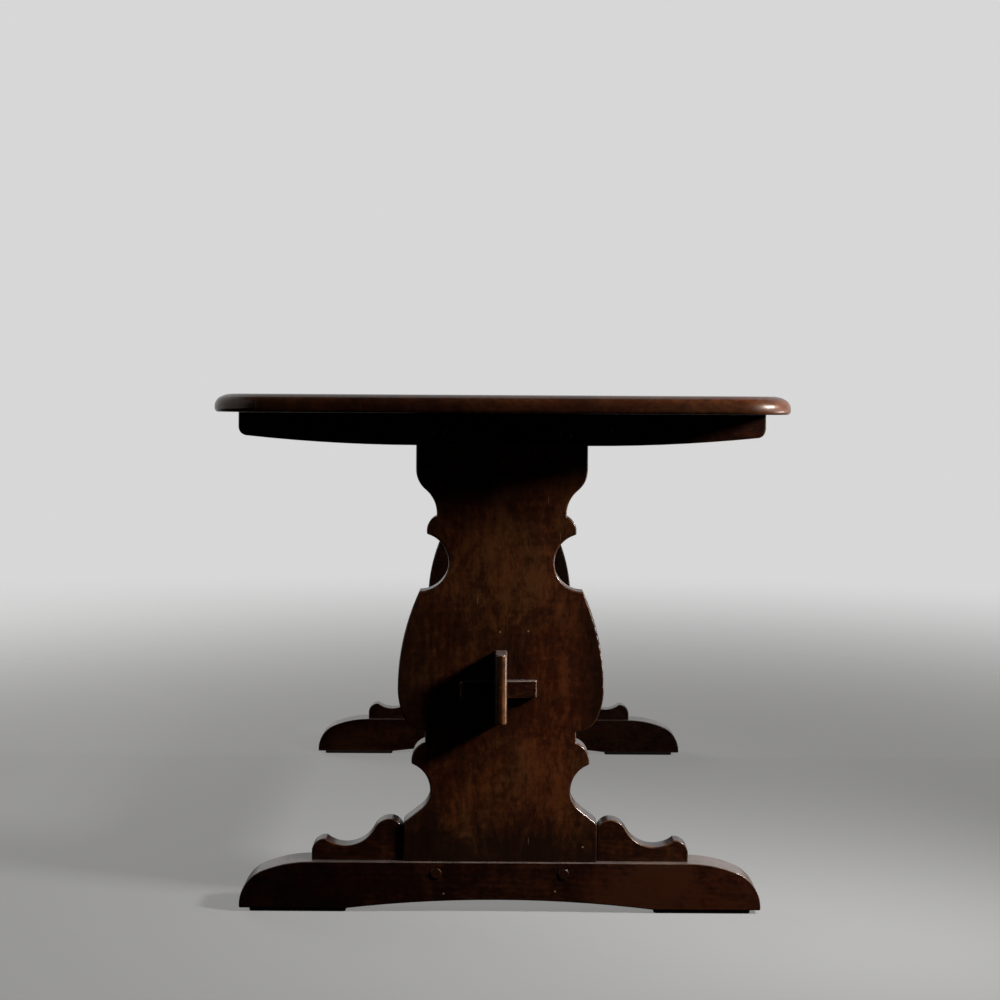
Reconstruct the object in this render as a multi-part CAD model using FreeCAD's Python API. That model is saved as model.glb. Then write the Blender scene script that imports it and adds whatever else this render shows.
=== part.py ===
# Refectory table: a boarded top on two scrolled trestles, tied by a stretcher with wedged through tenons.
# Millimetres. X runs across the table, Y along it and Z up, from the floor under the table's middle.
# The near end is at -Y, and left and right are as seen from there.
# The far end is the near end turned half round about Z.

import FreeCAD, Part
import math
import os

V = FreeCAD.Vector
TOLERANCE = 0.01

# The whole table
TABLE_LENGTH = 1440.0
TABLE_WIDTH = 735.0
TABLE_HEIGHT = 690.0
END_OVERHANG = 192.0  # from an end of the top to the middle of its trestle

# Clearances
GLUE_LINE = 0.1  # round each glued tenon, peg, dowel and tongue
MORTISE_SPARE = 2.0  # depth left empty past a tenon, dowel or screw
SLIDING_FIT = 0.25  # round each wedge and through tenon

# Top
TOP_THICKNESS = 23.0
TOP_BOARDS = 6
TOP_CORNER_RADIUS = 70.0
TOP_EDGE_REACH = 22.0  # how far the rounded edge runs in over the upper face
TOP_EDGE_DROP = 16.0
TOP_UNDER_RADIUS = 5.0
TONGUE_THICKNESS = 6.0
TONGUE_WIDTH = 20.0
TONGUE_STOP = 60.0  # from an end of the top to the end of a tongue

# Bearers
BEARER_THICKNESS = 44.0
BEARER_SETBACK = 15.0  # from a side of the top to the bearer's end
BEARER_DEPTH = 44.0
BEARER_END_DEPTH = 31.0
BEARER_END_RADIUS = 12.0

# Panels: half widths, from the foot upwards
PANEL_THICKNESS = 40.0
BASE_HALF = 129.5
WAIST_HALF = 93.8
COLLAR_HALF = 101.0
BELLY_HALF = 138.0
SHOULDER_HALF = 109.7
NECK_HALF = 87.0
BLOCK_HALF = 115.0
LOW_BEAD_PROUD = 18.0  # how far the lower bead stands out from the collar above it
HIGH_BEAD_PROUD = 13.2  # how far the upper bead stands out from the neck above it
THROAT_DEPTH = 38.9  # how far the deep notch cuts in from the vase's shoulder

# Panels: rises from one station to the next, with the vase taking up the rest of the height
BASE_EDGE_RISE = 51.7
WAIST_RISE = 43.0
LOW_BEAD_RISE = 35.3
BEAD_LIP = 5.2
LOW_BEAD_CROWN = 23.9
COLLAR_RISE = 14.9
THROAT_RISE = 38.9
HIGH_BEAD_RISE = 37.7
HIGH_BEAD_CROWN = 18.8
NECK_RISE = 3.7
HOLLOW_RISE = 59.0
BLOCK_EDGE_RISE = 32.0
BELLY_SHARE = 0.3064  # how far up the vase its widest point is
SPLAY_ANGLE = 36.0  # slope of the base's shoulder below the level
HOLLOW_RADIUS = 40.5
BASE_CORNER_RADIUS = 6.0
BEAD_TIP_RADIUS = 3.0
QUIRK_RADIUS = 1.5  # in the sharp inner corners above and below the beads

# Stub tenons on the panels, and the pegs that lock them
STUB_WIDTH = 52.0
STUB_THICKNESS = 18.0
FOOT_STUB_LENGTH = 38.0
BEARER_STUB_LENGTH = 28.0
PEG_DIAMETER = 15.0
PEG_SPREAD = 85.0  # from the middle of the panel to each peg
PEG_SETBACK = 15.0  # from the shoulder of the joint to each peg
PEG_PROUD = 1.6  # how far each peg stands out of its rail, and the round of its rim

# Feet and their pads
FOOT_THICKNESS = 50.0
FOOT_HEIGHT = 62.0
FOOT_NOSE_REACH = 96.0
FOOT_TOE_RISE = 4.0
FOOT_TOE_RADIUS = 2.0
FOOT_ARCH_HALF = 205.0
FOOT_ARCH_RISE = 12.0
PAD_THICKNESS = 5.0
PAD_SETBACK = 2.0  # from a face of the foot to the pad's side
PAD_INSET = 13.0  # from the foot's end to the pad's end
PAD_CORNER_RADIUS = 4.0

# Brackets: runs are measured outwards from the panel, heights from the foot
BRACKET_THICKNESS = 30.0
BRACKET_LENGTH = 122.5
BRACKET_HEEL_HEIGHT = 39.0
LOBE_RUN = 18.0
LOBE_HEIGHT = 55.2
LOBE_RADIUS = 23.6
TROUGH_RUN = 77.5
TROUGH_HEIGHT = 19.0
CUSP_RUN = 103.5
CUSP_HEIGHT = 27.9
TOE_HEIGHT = 11.4
DOWEL_DIAMETER = 8.0
DOWEL_FROM_END = 18.0
DOWEL_IN_BRACKET = 14.0
DOWEL_IN_FOOT = 18.0

# Stretcher, its through tenons and their wedges
STRETCHER_THICKNESS = 28.0
STRETCHER_DEPTH = 112.0
STRETCHER_LIFT = 5.0  # height of the stretcher's middle above the panel's belly
TENON_THICKNESS = 17.0
TENON_DEPTH = 92.5
TENON_PROUD = 44.0
TENON_RIM_RADIUS = 2.5
WEDGE_HEIGHT = 22.5
WEDGE_DROP = 3.8  # height of the stretcher's middle above the wedge's
WEDGE_HEAD_RUN = 55.0  # from the middle of the tenon to the thick end
WEDGE_TIP_RUN = 48.6  # from the middle of the tenon to the thin end
WEDGE_HEAD_DEPTH = 23.0
WEDGE_TIP_DEPTH = 11.0
WEDGE_END_RADIUS = 4.0
WEDGE_ARRIS = 1.5
SLOT_RELIEF = 3.0  # how far the wedge's slot runs in behind the panel's face

# Screws that hold the top down
SCREW_DIAMETER = 4.5
SCREW_LENGTH = 35.0
SCREW_POINT = 6.0
SCREW_HEAD_DIAMETER = 9.0
SCREW_HEAD_HEIGHT = 3.2
SCREW_SEAT = 20.0  # wood left in the bearer over each screw's head
SCREW_POCKET_DIAMETER = 12.0
SCREW_SLOT_TRAVEL = 5.0  # free play across the boards
SCREW_PANEL_CLEARANCE = 25.0  # least gap from the panel's side to a screw

# Eased edges
PANEL_ARRIS = 2.5
FOOT_ARRIS = 1.5
BEARER_ARRIS = 2.0
BRACKET_ARRIS = 2.0
STRETCHER_ARRIS = 3.0
ROUND_SHARE = 0.95  # most of a wall or a tip's radius that a rounded edge takes

# Widths, heights and places that follow from the sizes above
LOW_BEAD_HALF = COLLAR_HALF + LOW_BEAD_PROUD
HIGH_BEAD_HALF = NECK_HALF + HIGH_BEAD_PROUD
THROAT_HALF = SHOULDER_HALF - THROAT_DEPTH
EDGE_WALL = TOP_THICKNESS - TOP_EDGE_DROP  # what is left of the top's edge under its moulding
UNDER_ROUND = min(TOP_UNDER_RADIUS, ROUND_SHARE * EDGE_WALL)
PANEL_ROUND = min(PANEL_ARRIS, ROUND_SHARE * BEAD_TIP_RADIUS)
FOOT_ROUND = min(FOOT_ARRIS, ROUND_SHARE * FOOT_TOE_RISE)
FOOT_TOP = PAD_THICKNESS + FOOT_HEIGHT
TOP_UNDERSIDE = TABLE_HEIGHT - TOP_THICKNESS
BEARER_UNDERSIDE = TOP_UNDERSIDE - BEARER_DEPTH
BEARER_HALF = TABLE_WIDTH / 2 - BEARER_SETBACK
FOOT_HALF = BASE_HALF + BRACKET_LENGTH + FOOT_NOSE_REACH
TRESTLE_Y = -(TABLE_LENGTH / 2 - END_OVERHANG)
PANEL_FACE_Y = TRESTLE_Y - PANEL_THICKNESS / 2
BOARD_WIDTH = TABLE_WIDTH / TOP_BOARDS
BASE_EDGE_Z = FOOT_TOP + BASE_EDGE_RISE
WAIST_Z = BASE_EDGE_Z + WAIST_RISE
LOW_BEAD_Z = WAIST_Z + LOW_BEAD_RISE
COLLAR_Z = LOW_BEAD_Z + BEAD_LIP + LOW_BEAD_CROWN
VASE_Z = COLLAR_Z + COLLAR_RISE
HOLLOW_TOP_Z = BEARER_UNDERSIDE - BLOCK_EDGE_RISE
NECK_Z = HOLLOW_TOP_Z - HOLLOW_RISE
HIGH_BEAD_Z = NECK_Z - NECK_RISE - HIGH_BEAD_CROWN - BEAD_LIP
THROAT_Z = HIGH_BEAD_Z - HIGH_BEAD_RISE
SHOULDER_Z = THROAT_Z - THROAT_RISE
BELLY_Z = VASE_Z + BELLY_SHARE * (SHOULDER_Z - VASE_Z)
STRETCHER_Z = BELLY_Z + STRETCHER_LIFT
WEDGE_Z = STRETCHER_Z - WEDGE_DROP
SCREW_SEAT_Z = TOP_UNDERSIDE - SCREW_SEAT

UP = (0.0, 1.0)
DOWN = (0.0, -1.0)
OUT = (1.0, 0.0)
IN = (-1.0, 0.0)


# Drawing helpers: outlines are drawn on the upright XZ plane, as pairs of x and z
def on_plane(point):
    return V(point[0], 0, point[1])


def line(start, end):
    return Part.makeLine(on_plane(start), on_plane(end))


def bend(start, heading, end):
    """One arc that leaves start along heading and ends at end."""
    chord = (end[0] - start[0], end[1] - start[1])
    cross = heading[0] * chord[1] - heading[1] * chord[0]
    dot = heading[0] * chord[0] + heading[1] * chord[1]
    turn = math.atan2(cross, dot) / 2
    reach = math.hypot(*chord) / (2 * math.cos(turn))
    across = heading[0] * math.cos(turn) - heading[1] * math.sin(turn)
    along = heading[0] * math.sin(turn) + heading[1] * math.cos(turn)
    middle = (start[0] + reach * across, start[1] + reach * along)
    return Part.Arc(on_plane(start), on_plane(middle), on_plane(end)).toShape()


def double_bend(start, heading, end, end_heading):
    """Two arcs that meet smoothly and keep the given headings at both ends."""
    chord = (end[0] - start[0], end[1] - start[1])
    both = (heading[0] + end_heading[0], heading[1] + end_heading[1])
    along = chord[0] * both[0] + chord[1] * both[1]
    square = chord[0] ** 2 + chord[1] ** 2
    opening = 1 - heading[0] * end_heading[0] - heading[1] * end_heading[1]
    handle = (math.sqrt(along ** 2 + 2 * opening * square) - along) / (2 * opening)
    joint = tuple((start[i] + end[i] + handle * (heading[i] - end_heading[i])) / 2 for i in (0, 1))
    backwards = (-end_heading[0], -end_heading[1])
    return [bend(start, heading, joint), bend(end, backwards, joint)]


def s_bend(start, heading, end, radius):
    """Two opposed arcs with the same heading at both ends, the first of the given radius."""
    chord = (end[0] - start[0], end[1] - start[1])
    offset = abs(heading[0] * chord[1] - heading[1] * chord[0])
    share = 2 * radius * offset / (chord[0] ** 2 + chord[1] ** 2)
    joint = (start[0] + share * chord[0], start[1] + share * chord[1])
    return [bend(start, heading, joint), bend(end, (-heading[0], -heading[1]), joint)]


def board_from(edges, thickness, y_middle):
    """A board of the given thickness, sawn to the closed outline that the edges make."""
    wire = Part.Wire(Part.__sortEdges__(edges))
    board = Part.Face(wire).extrude(V(0, thickness, 0))
    return board.translated(V(0, y_middle - thickness / 2, 0))


def both_sides(edges):
    return edges + [edge.mirror(V(0, 0, 0), V(1, 0, 0)) for edge in edges]


def box(x_range, y_range, z_range):
    size = [b - a for a, b in (x_range, y_range, z_range)]
    return Part.makeBox(*size, V(x_range[0], y_range[0], z_range[0]))


def about(middle, size):
    return (middle - size / 2, middle + size / 2)


def lies_at(low, high, value):
    return abs(low - value) < TOLERANCE and abs(high - value) < TOLERANCE


def ease_faces(board, radius, sharp_z=()):
    """Rounds the outline on both faces of an upright board, but not its edges at the given heights."""
    bounds = board.BoundBox
    edges = []
    for edge in board.Edges:
        span = edge.BoundBox
        on_face = any(lies_at(span.YMin, span.YMax, y) for y in (bounds.YMin, bounds.YMax))
        on_seat = any(lies_at(span.ZMin, span.ZMax, z) for z in sharp_z)
        if on_face and not on_seat:
            edges.append(edge)
    return board.makeFillet(radius, edges)


def round_corners(board, radius, corners):
    """Rounds the edges that run through an upright board at the given x and z, left and right."""
    edges = []
    for edge in board.Edges:
        span = edge.BoundBox
        for x, z in corners:
            at_corner = lies_at(abs(span.XMin), abs(span.XMax), x) and lies_at(span.ZMin, span.ZMax, z)
            if at_corner and span.YLength > TOLERANCE:
                edges.append(edge)
    return board.makeFillet(radius, edges).Solids[0]


def turned_round(shape):
    return shape.rotated(V(0, 0, 0), V(0, 0, 1), 180)


# Top
def rounded_rectangle(inset, z):
    half_x = TABLE_WIDTH / 2 - inset
    half_y = TABLE_LENGTH / 2 - inset
    radius = TOP_CORNER_RADIUS - inset
    slope = radius * (1 - math.sqrt(0.5))
    edges = []
    for turn in range(4):
        across, along = (half_x, half_y) if turn % 2 == 0 else (half_y, half_x)
        side = [
            Part.makeLine(V(across, 0, z), V(across, along - radius, z)),
            Part.Arc(
                V(across, along - radius, z),
                V(across - slope, along - slope, z),
                V(across - radius, along, z),
            ).toShape(),
            Part.makeLine(V(across - radius, along, z), V(0, along, z)),
        ]
        edges += [edge.rotated(V(0, 0, 0), V(0, 0, 1), 90 * turn) for edge in side]
    return Part.Wire(edges)


def top_slab():
    """The whole top before its boards are parted: a moulded edge between two flat faces."""
    edge_x = TABLE_WIDTH / 2
    shoulder = (edge_x, TABLE_HEIGHT - TOP_EDGE_DROP)
    under = (edge_x, TOP_UNDERSIDE + UNDER_ROUND)
    profile = double_bend((edge_x - TOP_EDGE_REACH, TABLE_HEIGHT), OUT, shoulder, DOWN)
    profile.append(line(shoulder, under))
    profile.append(bend(under, DOWN, (edge_x - UNDER_ROUND, TOP_UNDERSIDE)))
    path = rounded_rectangle(0, TOP_UNDERSIDE)
    moulding = path.makePipeShell([Part.Wire(Part.__sortEdges__(profile))], False, False)
    upper_face = Part.Face(rounded_rectangle(TOP_EDGE_REACH, TABLE_HEIGHT))
    lower_face = Part.Face(rounded_rectangle(UNDER_ROUND, TOP_UNDERSIDE))
    shell = Part.makeShell(moulding.Faces + [upper_face, lower_face])
    shell.sewShape()
    slab = Part.Solid(shell)
    slab.fix(TOLERANCE, TOLERANCE, TOLERANCE)
    return slab


def board_joints():
    return [-TABLE_WIDTH / 2 + BOARD_WIDTH * number for number in range(1, TOP_BOARDS)]


def tongue_at(x, clearance):
    half_length = TABLE_LENGTH / 2 - TONGUE_STOP + clearance
    z_middle = TOP_UNDERSIDE + TOP_THICKNESS / 2
    return box(
        about(x, TONGUE_WIDTH + 2 * clearance),
        (-half_length, half_length),
        about(z_middle, TONGUE_THICKNESS + 2 * clearance),
    )


def screw_places():
    """Across the table: the middle of each board that a screw can reach beside the panel."""
    middles = [-TABLE_WIDTH / 2 + BOARD_WIDTH * (number + 0.5) for number in range(TOP_BOARDS)]
    return [x for x in middles if abs(x) > BLOCK_HALF + SCREW_PANEL_CLEARANCE]


def screw_at(x, y, clearance):
    """A wood screw, or with a clearance the pilot hole that it bites into."""
    shank = SCREW_DIAMETER / 2 + clearance
    tip = SCREW_SEAT_Z + SCREW_LENGTH + clearance
    head_under = SCREW_SEAT_Z - SCREW_HEAD_HEIGHT
    neck = (shank, SCREW_SEAT_Z)
    rim = (SCREW_HEAD_DIAMETER / 2, SCREW_SEAT_Z)
    edges = [
        bend((0, head_under), OUT, rim),
        line(rim, neck),
        line(neck, (shank, tip - SCREW_POINT)),
        line((shank, tip - SCREW_POINT), (0, tip)),
        line((0, tip), (0, head_under)),
    ]
    outline = Part.Face(Part.Wire(Part.__sortEdges__(edges)))
    return outline.revolve(V(0, 0, 0), V(0, 0, 1), 360).translated(V(x, y, 0))


def top_boards():
    slab = top_slab()
    grooves = [tongue_at(x, GLUE_LINE) for x in board_joints()]
    holes = []
    for y in (TRESTLE_Y, -TRESTLE_Y):
        holes += [screw_at(x, y, GLUE_LINE) for x in screw_places()]
    boards = []
    for number in range(TOP_BOARDS):
        left = -TABLE_WIDTH / 2 + BOARD_WIDTH * number
        blank = box(
            (left, left + BOARD_WIDTH),
            about(0, TABLE_LENGTH + 2 * TOP_THICKNESS),
            about(TABLE_HEIGHT, 4 * TOP_THICKNESS),
        )
        boards.append(slab.common(blank).cut(grooves + holes))
    return boards


# Trestle, all at the near end
def bearer():
    end = (BEARER_HALF, TOP_UNDERSIDE)
    lower_end = (BEARER_HALF, TOP_UNDERSIDE - BEARER_END_DEPTH)
    sweep_start = (BLOCK_HALF, BEARER_UNDERSIDE)
    half = [
        line((0, TOP_UNDERSIDE), end),
        line(end, lower_end),
        bend(sweep_start, OUT, lower_end),
        line(sweep_start, (0, BEARER_UNDERSIDE)),
    ]
    board = board_from(both_sides(half), BEARER_THICKNESS, TRESTLE_Y)
    board = round_corners(board, BEARER_END_RADIUS, [lower_end])
    board = ease_faces(board, BEARER_ARRIS, [TOP_UNDERSIDE])
    cuts = []
    for side in (-1, 1):
        cuts.append(stub_at(side, BEARER_UNDERSIDE, BEARER_STUB_LENGTH + MORTISE_SPARE, GLUE_LINE))
        cuts.append(peg_hole(side, BEARER_UNDERSIDE + PEG_SETBACK))
    for x in screw_places():
        cuts += [screw_pocket(x), screw_slot(x)]
    return board.cut(cuts)


def screw_pocket(x):
    depth = BEARER_DEPTH - SCREW_SEAT
    return Part.makeCylinder(SCREW_POCKET_DIAMETER / 2, depth, V(x, TRESTLE_Y, BEARER_UNDERSIDE))


def screw_slot(x):
    """A slot across the boards, in which the screw can shift as the top swells and shrinks."""
    radius = SCREW_DIAMETER / 2 + SLIDING_FIT
    ends = [x - SCREW_SLOT_TRAVEL / 2, x + SCREW_SLOT_TRAVEL / 2]
    rounds = [Part.makeCylinder(radius, SCREW_SEAT, V(end, TRESTLE_Y, SCREW_SEAT_Z)) for end in ends]
    middle = box(ends, about(TRESTLE_Y, 2 * radius), (SCREW_SEAT_Z, TOP_UNDERSIDE))
    return rounds[0].fuse([rounds[1], middle]).removeSplitter()


def stub_at(side, shoulder_z, length, clearance):
    """A stub tenon or, with a clearance, its mortise. A negative length goes down from the shoulder."""
    return box(
        about(side * PEG_SPREAD, STUB_WIDTH + 2 * clearance),
        about(TRESTLE_Y, STUB_THICKNESS + 2 * clearance),
        sorted((shoulder_z, shoulder_z + length)),
    )


def peg_hole(side, z):
    length = FOOT_THICKNESS + BEARER_THICKNESS
    start = V(side * PEG_SPREAD, TRESTLE_Y - length / 2, z)
    return Part.makeCylinder(PEG_DIAMETER / 2 + GLUE_LINE, length, start, V(0, 1, 0))


def peg(side, z, thickness):
    """A peg through a rail of the given thickness: flush inside, proud outside with a rounded rim."""
    radius = PEG_DIAMETER / 2
    rim = (radius - PEG_PROUD, thickness + PEG_PROUD)
    face_middle = (0, thickness + PEG_PROUD)
    edges = [
        line((0, 0), (radius, 0)),
        line((radius, 0), (radius, thickness)),
        bend(rim, OUT, (radius, thickness)),
        line(rim, face_middle),
        line(face_middle, (0, 0)),
    ]
    turned = Part.Face(Part.Wire(Part.__sortEdges__(edges))).revolve(V(0, 0, 0), V(0, 0, 1), 360)
    laid = turned.rotated(V(0, 0, 0), V(1, 0, 0), 90)
    return laid.translated(V(side * PEG_SPREAD, TRESTLE_Y + thickness / 2, z))


def panel_outline():
    """The right half of the scrolled panel, from the foot up to the bearer."""
    base_edge = (BASE_HALF, BASE_EDGE_Z)
    waist = (WAIST_HALF, WAIST_Z)
    low_lip = (LOW_BEAD_HALF, LOW_BEAD_Z)
    low_bead = (LOW_BEAD_HALF, LOW_BEAD_Z + BEAD_LIP)
    collar = (COLLAR_HALF, COLLAR_Z)
    collar_top = (COLLAR_HALF, VASE_Z)
    belly = (BELLY_HALF, BELLY_Z)
    shoulder = (SHOULDER_HALF, SHOULDER_Z)
    throat = (THROAT_HALF, THROAT_Z)
    high_lip = (HIGH_BEAD_HALF, HIGH_BEAD_Z)
    high_bead = (HIGH_BEAD_HALF, HIGH_BEAD_Z + BEAD_LIP)
    bead_top = (NECK_HALF, NECK_Z - NECK_RISE)
    neck = (NECK_HALF, NECK_Z)
    block = (BLOCK_HALF, HOLLOW_TOP_Z)
    splay = (math.cos(math.radians(SPLAY_ANGLE)), -math.sin(math.radians(SPLAY_ANGLE)))
    edges = [line((0, FOOT_TOP), (BASE_HALF, FOOT_TOP)), line((BASE_HALF, FOOT_TOP), base_edge)]
    edges += double_bend(waist, DOWN, base_edge, splay)
    edges += [bend(waist, UP, low_lip), line(low_lip, low_bead), bend(low_bead, UP, collar)]
    edges += [line(collar, collar_top)]
    edges += double_bend(collar_top, OUT, belly, UP)
    edges += [bend(belly, UP, shoulder), bend(throat, DOWN, shoulder), bend(throat, UP, high_lip)]
    edges += [line(high_lip, high_bead), bend(high_bead, UP, bead_top), line(bead_top, neck)]
    edges += s_bend(neck, UP, block, HOLLOW_RADIUS)
    edges += [line(block, (BLOCK_HALF, BEARER_UNDERSIDE))]
    edges += [line((BLOCK_HALF, BEARER_UNDERSIDE), (0, BEARER_UNDERSIDE))]
    return edges


def panel():
    quirks = [(COLLAR_HALF, COLLAR_Z), (COLLAR_HALF, VASE_Z)]
    quirks.append((NECK_HALF, NECK_Z - NECK_RISE))
    tips = [(LOW_BEAD_HALF, LOW_BEAD_Z), (HIGH_BEAD_HALF, HIGH_BEAD_Z)]
    board = board_from(both_sides(panel_outline()), PANEL_THICKNESS, TRESTLE_Y)
    board = round_corners(board, BASE_CORNER_RADIUS, [(BASE_HALF, BASE_EDGE_Z)])
    board = round_corners(board, QUIRK_RADIUS, quirks)
    board = round_corners(board, BEAD_TIP_RADIUS, tips)
    board = ease_faces(board, PANEL_ROUND, [FOOT_TOP, BEARER_UNDERSIDE])
    stubs = []
    cuts = [through_tenon(TENON_PROUD, SLIDING_FIT)]
    for side in (-1, 1):
        stubs.append(stub_at(side, FOOT_TOP, -FOOT_STUB_LENGTH, 0))
        stubs.append(stub_at(side, BEARER_UNDERSIDE, BEARER_STUB_LENGTH, 0))
        cuts.append(peg_hole(side, FOOT_TOP - PEG_SETBACK))
        cuts.append(peg_hole(side, BEARER_UNDERSIDE + PEG_SETBACK))
    return board.fuse(stubs).cut(cuts)


def foot():
    nose = (FOOT_HALF - FOOT_NOSE_REACH, FOOT_TOP)
    toe_top = (FOOT_HALF, PAD_THICKNESS + FOOT_TOE_RISE)
    toe = (FOOT_HALF, PAD_THICKNESS)
    arch_end = (FOOT_ARCH_HALF, PAD_THICKNESS)
    half = [line((0, FOOT_TOP), nose)]
    half += double_bend(nose, OUT, toe_top, DOWN)
    half += [line(toe_top, toe), line(toe, arch_end)]
    half += [bend((0, PAD_THICKNESS + FOOT_ARCH_RISE), OUT, arch_end)]
    board = board_from(both_sides(half), FOOT_THICKNESS, TRESTLE_Y)
    board = round_corners(board, FOOT_TOE_RADIUS, [toe])
    board = ease_faces(board, FOOT_ROUND)
    cuts = []
    for side in (-1, 1):
        cuts.append(stub_at(side, FOOT_TOP, -FOOT_STUB_LENGTH - MORTISE_SPARE, GLUE_LINE))
        cuts.append(peg_hole(side, FOOT_TOP - PEG_SETBACK))
        cuts += [bracket_dowel(side, run, GLUE_LINE) for run in dowel_runs()]
    return board.cut(cuts)


def pad(side):
    inner = FOOT_ARCH_HALF
    outer = FOOT_HALF - PAD_INSET
    block = box(
        sorted((side * inner, side * outer)),
        about(TRESTLE_Y, FOOT_THICKNESS - 2 * PAD_SETBACK),
        (0, PAD_THICKNESS),
    )
    upright = [edge for edge in block.Edges if edge.BoundBox.ZLength > TOLERANCE]
    return block.makeFillet(PAD_CORNER_RADIUS, upright)


def dowel_runs():
    return (DOWEL_FROM_END, BRACKET_LENGTH - DOWEL_FROM_END)


def bracket_dowel(side, run, clearance):
    """A dowel between bracket and foot or, with a clearance, the hole for it."""
    spare = MORTISE_SPARE if clearance else 0
    length = DOWEL_IN_FOOT + DOWEL_IN_BRACKET + 2 * spare
    foot_end = V(side * (BASE_HALF + run), TRESTLE_Y, FOOT_TOP - DOWEL_IN_FOOT - spare)
    return Part.makeCylinder(DOWEL_DIAMETER / 2 + clearance, length, foot_end)


def bracket(side):
    def at(run, height):
        return (BASE_HALF + run, FOOT_TOP + height)

    lobe = at(LOBE_RUN, LOBE_HEIGHT)
    trough = at(TROUGH_RUN, TROUGH_HEIGHT)
    cusp = at(CUSP_RUN, CUSP_HEIGHT)
    toe = at(BRACKET_LENGTH, TOE_HEIGHT)
    edges = [line(at(0, 0), at(0, BRACKET_HEEL_HEIGHT)), bend(lobe, IN, at(0, BRACKET_HEEL_HEIGHT))]
    edges += s_bend(lobe, OUT, trough, LOBE_RADIUS)
    edges += [bend(trough, OUT, cusp), bend(toe, UP, cusp)]
    edges += [line(toe, at(BRACKET_LENGTH, 0)), line(at(BRACKET_LENGTH, 0), at(0, 0))]
    if side < 0:
        edges = [edge.mirror(V(0, 0, 0), V(1, 0, 0)) for edge in edges]
    board = board_from(edges, BRACKET_THICKNESS, TRESTLE_Y)
    eased = ease_faces(board, BRACKET_ARRIS, [FOOT_TOP])
    return eased.cut([bracket_dowel(side, run, GLUE_LINE) for run in dowel_runs()])


# Stretcher and wedges
def through_tenon(proud, clearance):
    """The square bar of the near tenon, from the stretcher's middle outwards, or its mortise."""
    return box(
        about(0, TENON_THICKNESS + 2 * clearance),
        (PANEL_FACE_Y - proud, 0),
        about(STRETCHER_Z, TENON_DEPTH + 2 * clearance),
    )


def tenon_end():
    """The part of the near tenon that stands proud: rounded in plan, with an eased rim."""
    half = TENON_THICKNESS / 2
    end_y = PANEL_FACE_Y - TENON_PROUD
    left, right = V(-half, PANEL_FACE_Y, 0), V(half, PANEL_FACE_Y, 0)
    left_spring, right_spring = V(-half, end_y + half, 0), V(half, end_y + half, 0)
    outline = [
        Part.makeLine(left, left_spring),
        Part.Arc(left_spring, V(0, end_y, 0), right_spring).toShape(),
        Part.makeLine(right_spring, right),
        Part.makeLine(right, left),
    ]
    block = Part.Face(Part.Wire(outline)).extrude(V(0, 0, TENON_DEPTH))
    block = block.translated(V(0, 0, STRETCHER_Z - TENON_DEPTH / 2))
    bounds = block.BoundBox
    rims = []
    for edge in block.Edges:
        span = edge.BoundBox
        level = any(lies_at(span.ZMin, span.ZMax, z) for z in (bounds.ZMin, bounds.ZMax))
        if level and not lies_at(span.YMin, span.YMax, PANEL_FACE_Y):
            rims.append(edge)
    return block.makeFillet(TENON_RIM_RADIUS, rims)


def wedge_plan(inner_y, outer_gap):
    """The wedge or its slot seen from above: flat on the panel's side, tapered on its outer side."""
    seat_y = PANEL_FACE_Y - SLIDING_FIT - outer_gap
    points = [
        V(-WEDGE_HEAD_RUN, inner_y, 0),
        V(WEDGE_TIP_RUN, inner_y, 0),
        V(WEDGE_TIP_RUN, seat_y - WEDGE_TIP_DEPTH, 0),
        V(-WEDGE_HEAD_RUN, seat_y - WEDGE_HEAD_DEPTH, 0),
    ]
    return Part.Face(Part.makePolygon(points + points[:1]))


def wedge():
    block = wedge_plan(PANEL_FACE_Y - SLIDING_FIT, 0).extrude(V(0, 0, WEDGE_HEIGHT))
    block = block.translated(V(0, 0, WEDGE_Z - WEDGE_HEIGHT / 2))
    bounds = block.BoundBox
    outer_corners = []
    for edge in block.Edges:
        span = edge.BoundBox
        upright = span.ZLength > TOLERANCE
        if upright and span.YMax < bounds.YMax - TOLERANCE:
            outer_corners.append(edge)
    block = block.makeFillet(WEDGE_END_RADIUS, outer_corners)
    rims = []
    for edge in block.Edges:
        span = edge.BoundBox
        if lies_at(span.ZMin, span.ZMax, bounds.ZMin) or lies_at(span.ZMin, span.ZMax, bounds.ZMax):
            rims.append(edge)
    return block.makeFillet(WEDGE_ARRIS, rims)


def wedge_slot():
    height = WEDGE_HEIGHT + 2 * SLIDING_FIT
    slot = wedge_plan(PANEL_FACE_Y + SLOT_RELIEF, SLIDING_FIT).extrude(V(0, 0, height))
    return slot.translated(V(0, 0, WEDGE_Z - height / 2))


def stretcher():
    shoulder = TRESTLE_Y + PANEL_THICKNESS / 2
    board = box(
        about(0, STRETCHER_THICKNESS),
        (shoulder, -shoulder),
        about(STRETCHER_Z, STRETCHER_DEPTH),
    )
    long_edges = [edge for edge in board.Edges if edge.BoundBox.YLength > TOLERANCE]
    board = board.makeFillet(STRETCHER_ARRIS, long_edges)
    tenon = through_tenon(0, 0).fuse(tenon_end()).cut(wedge_slot())
    return board.fuse([tenon, turned_round(tenon)]).removeSplitter()


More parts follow.
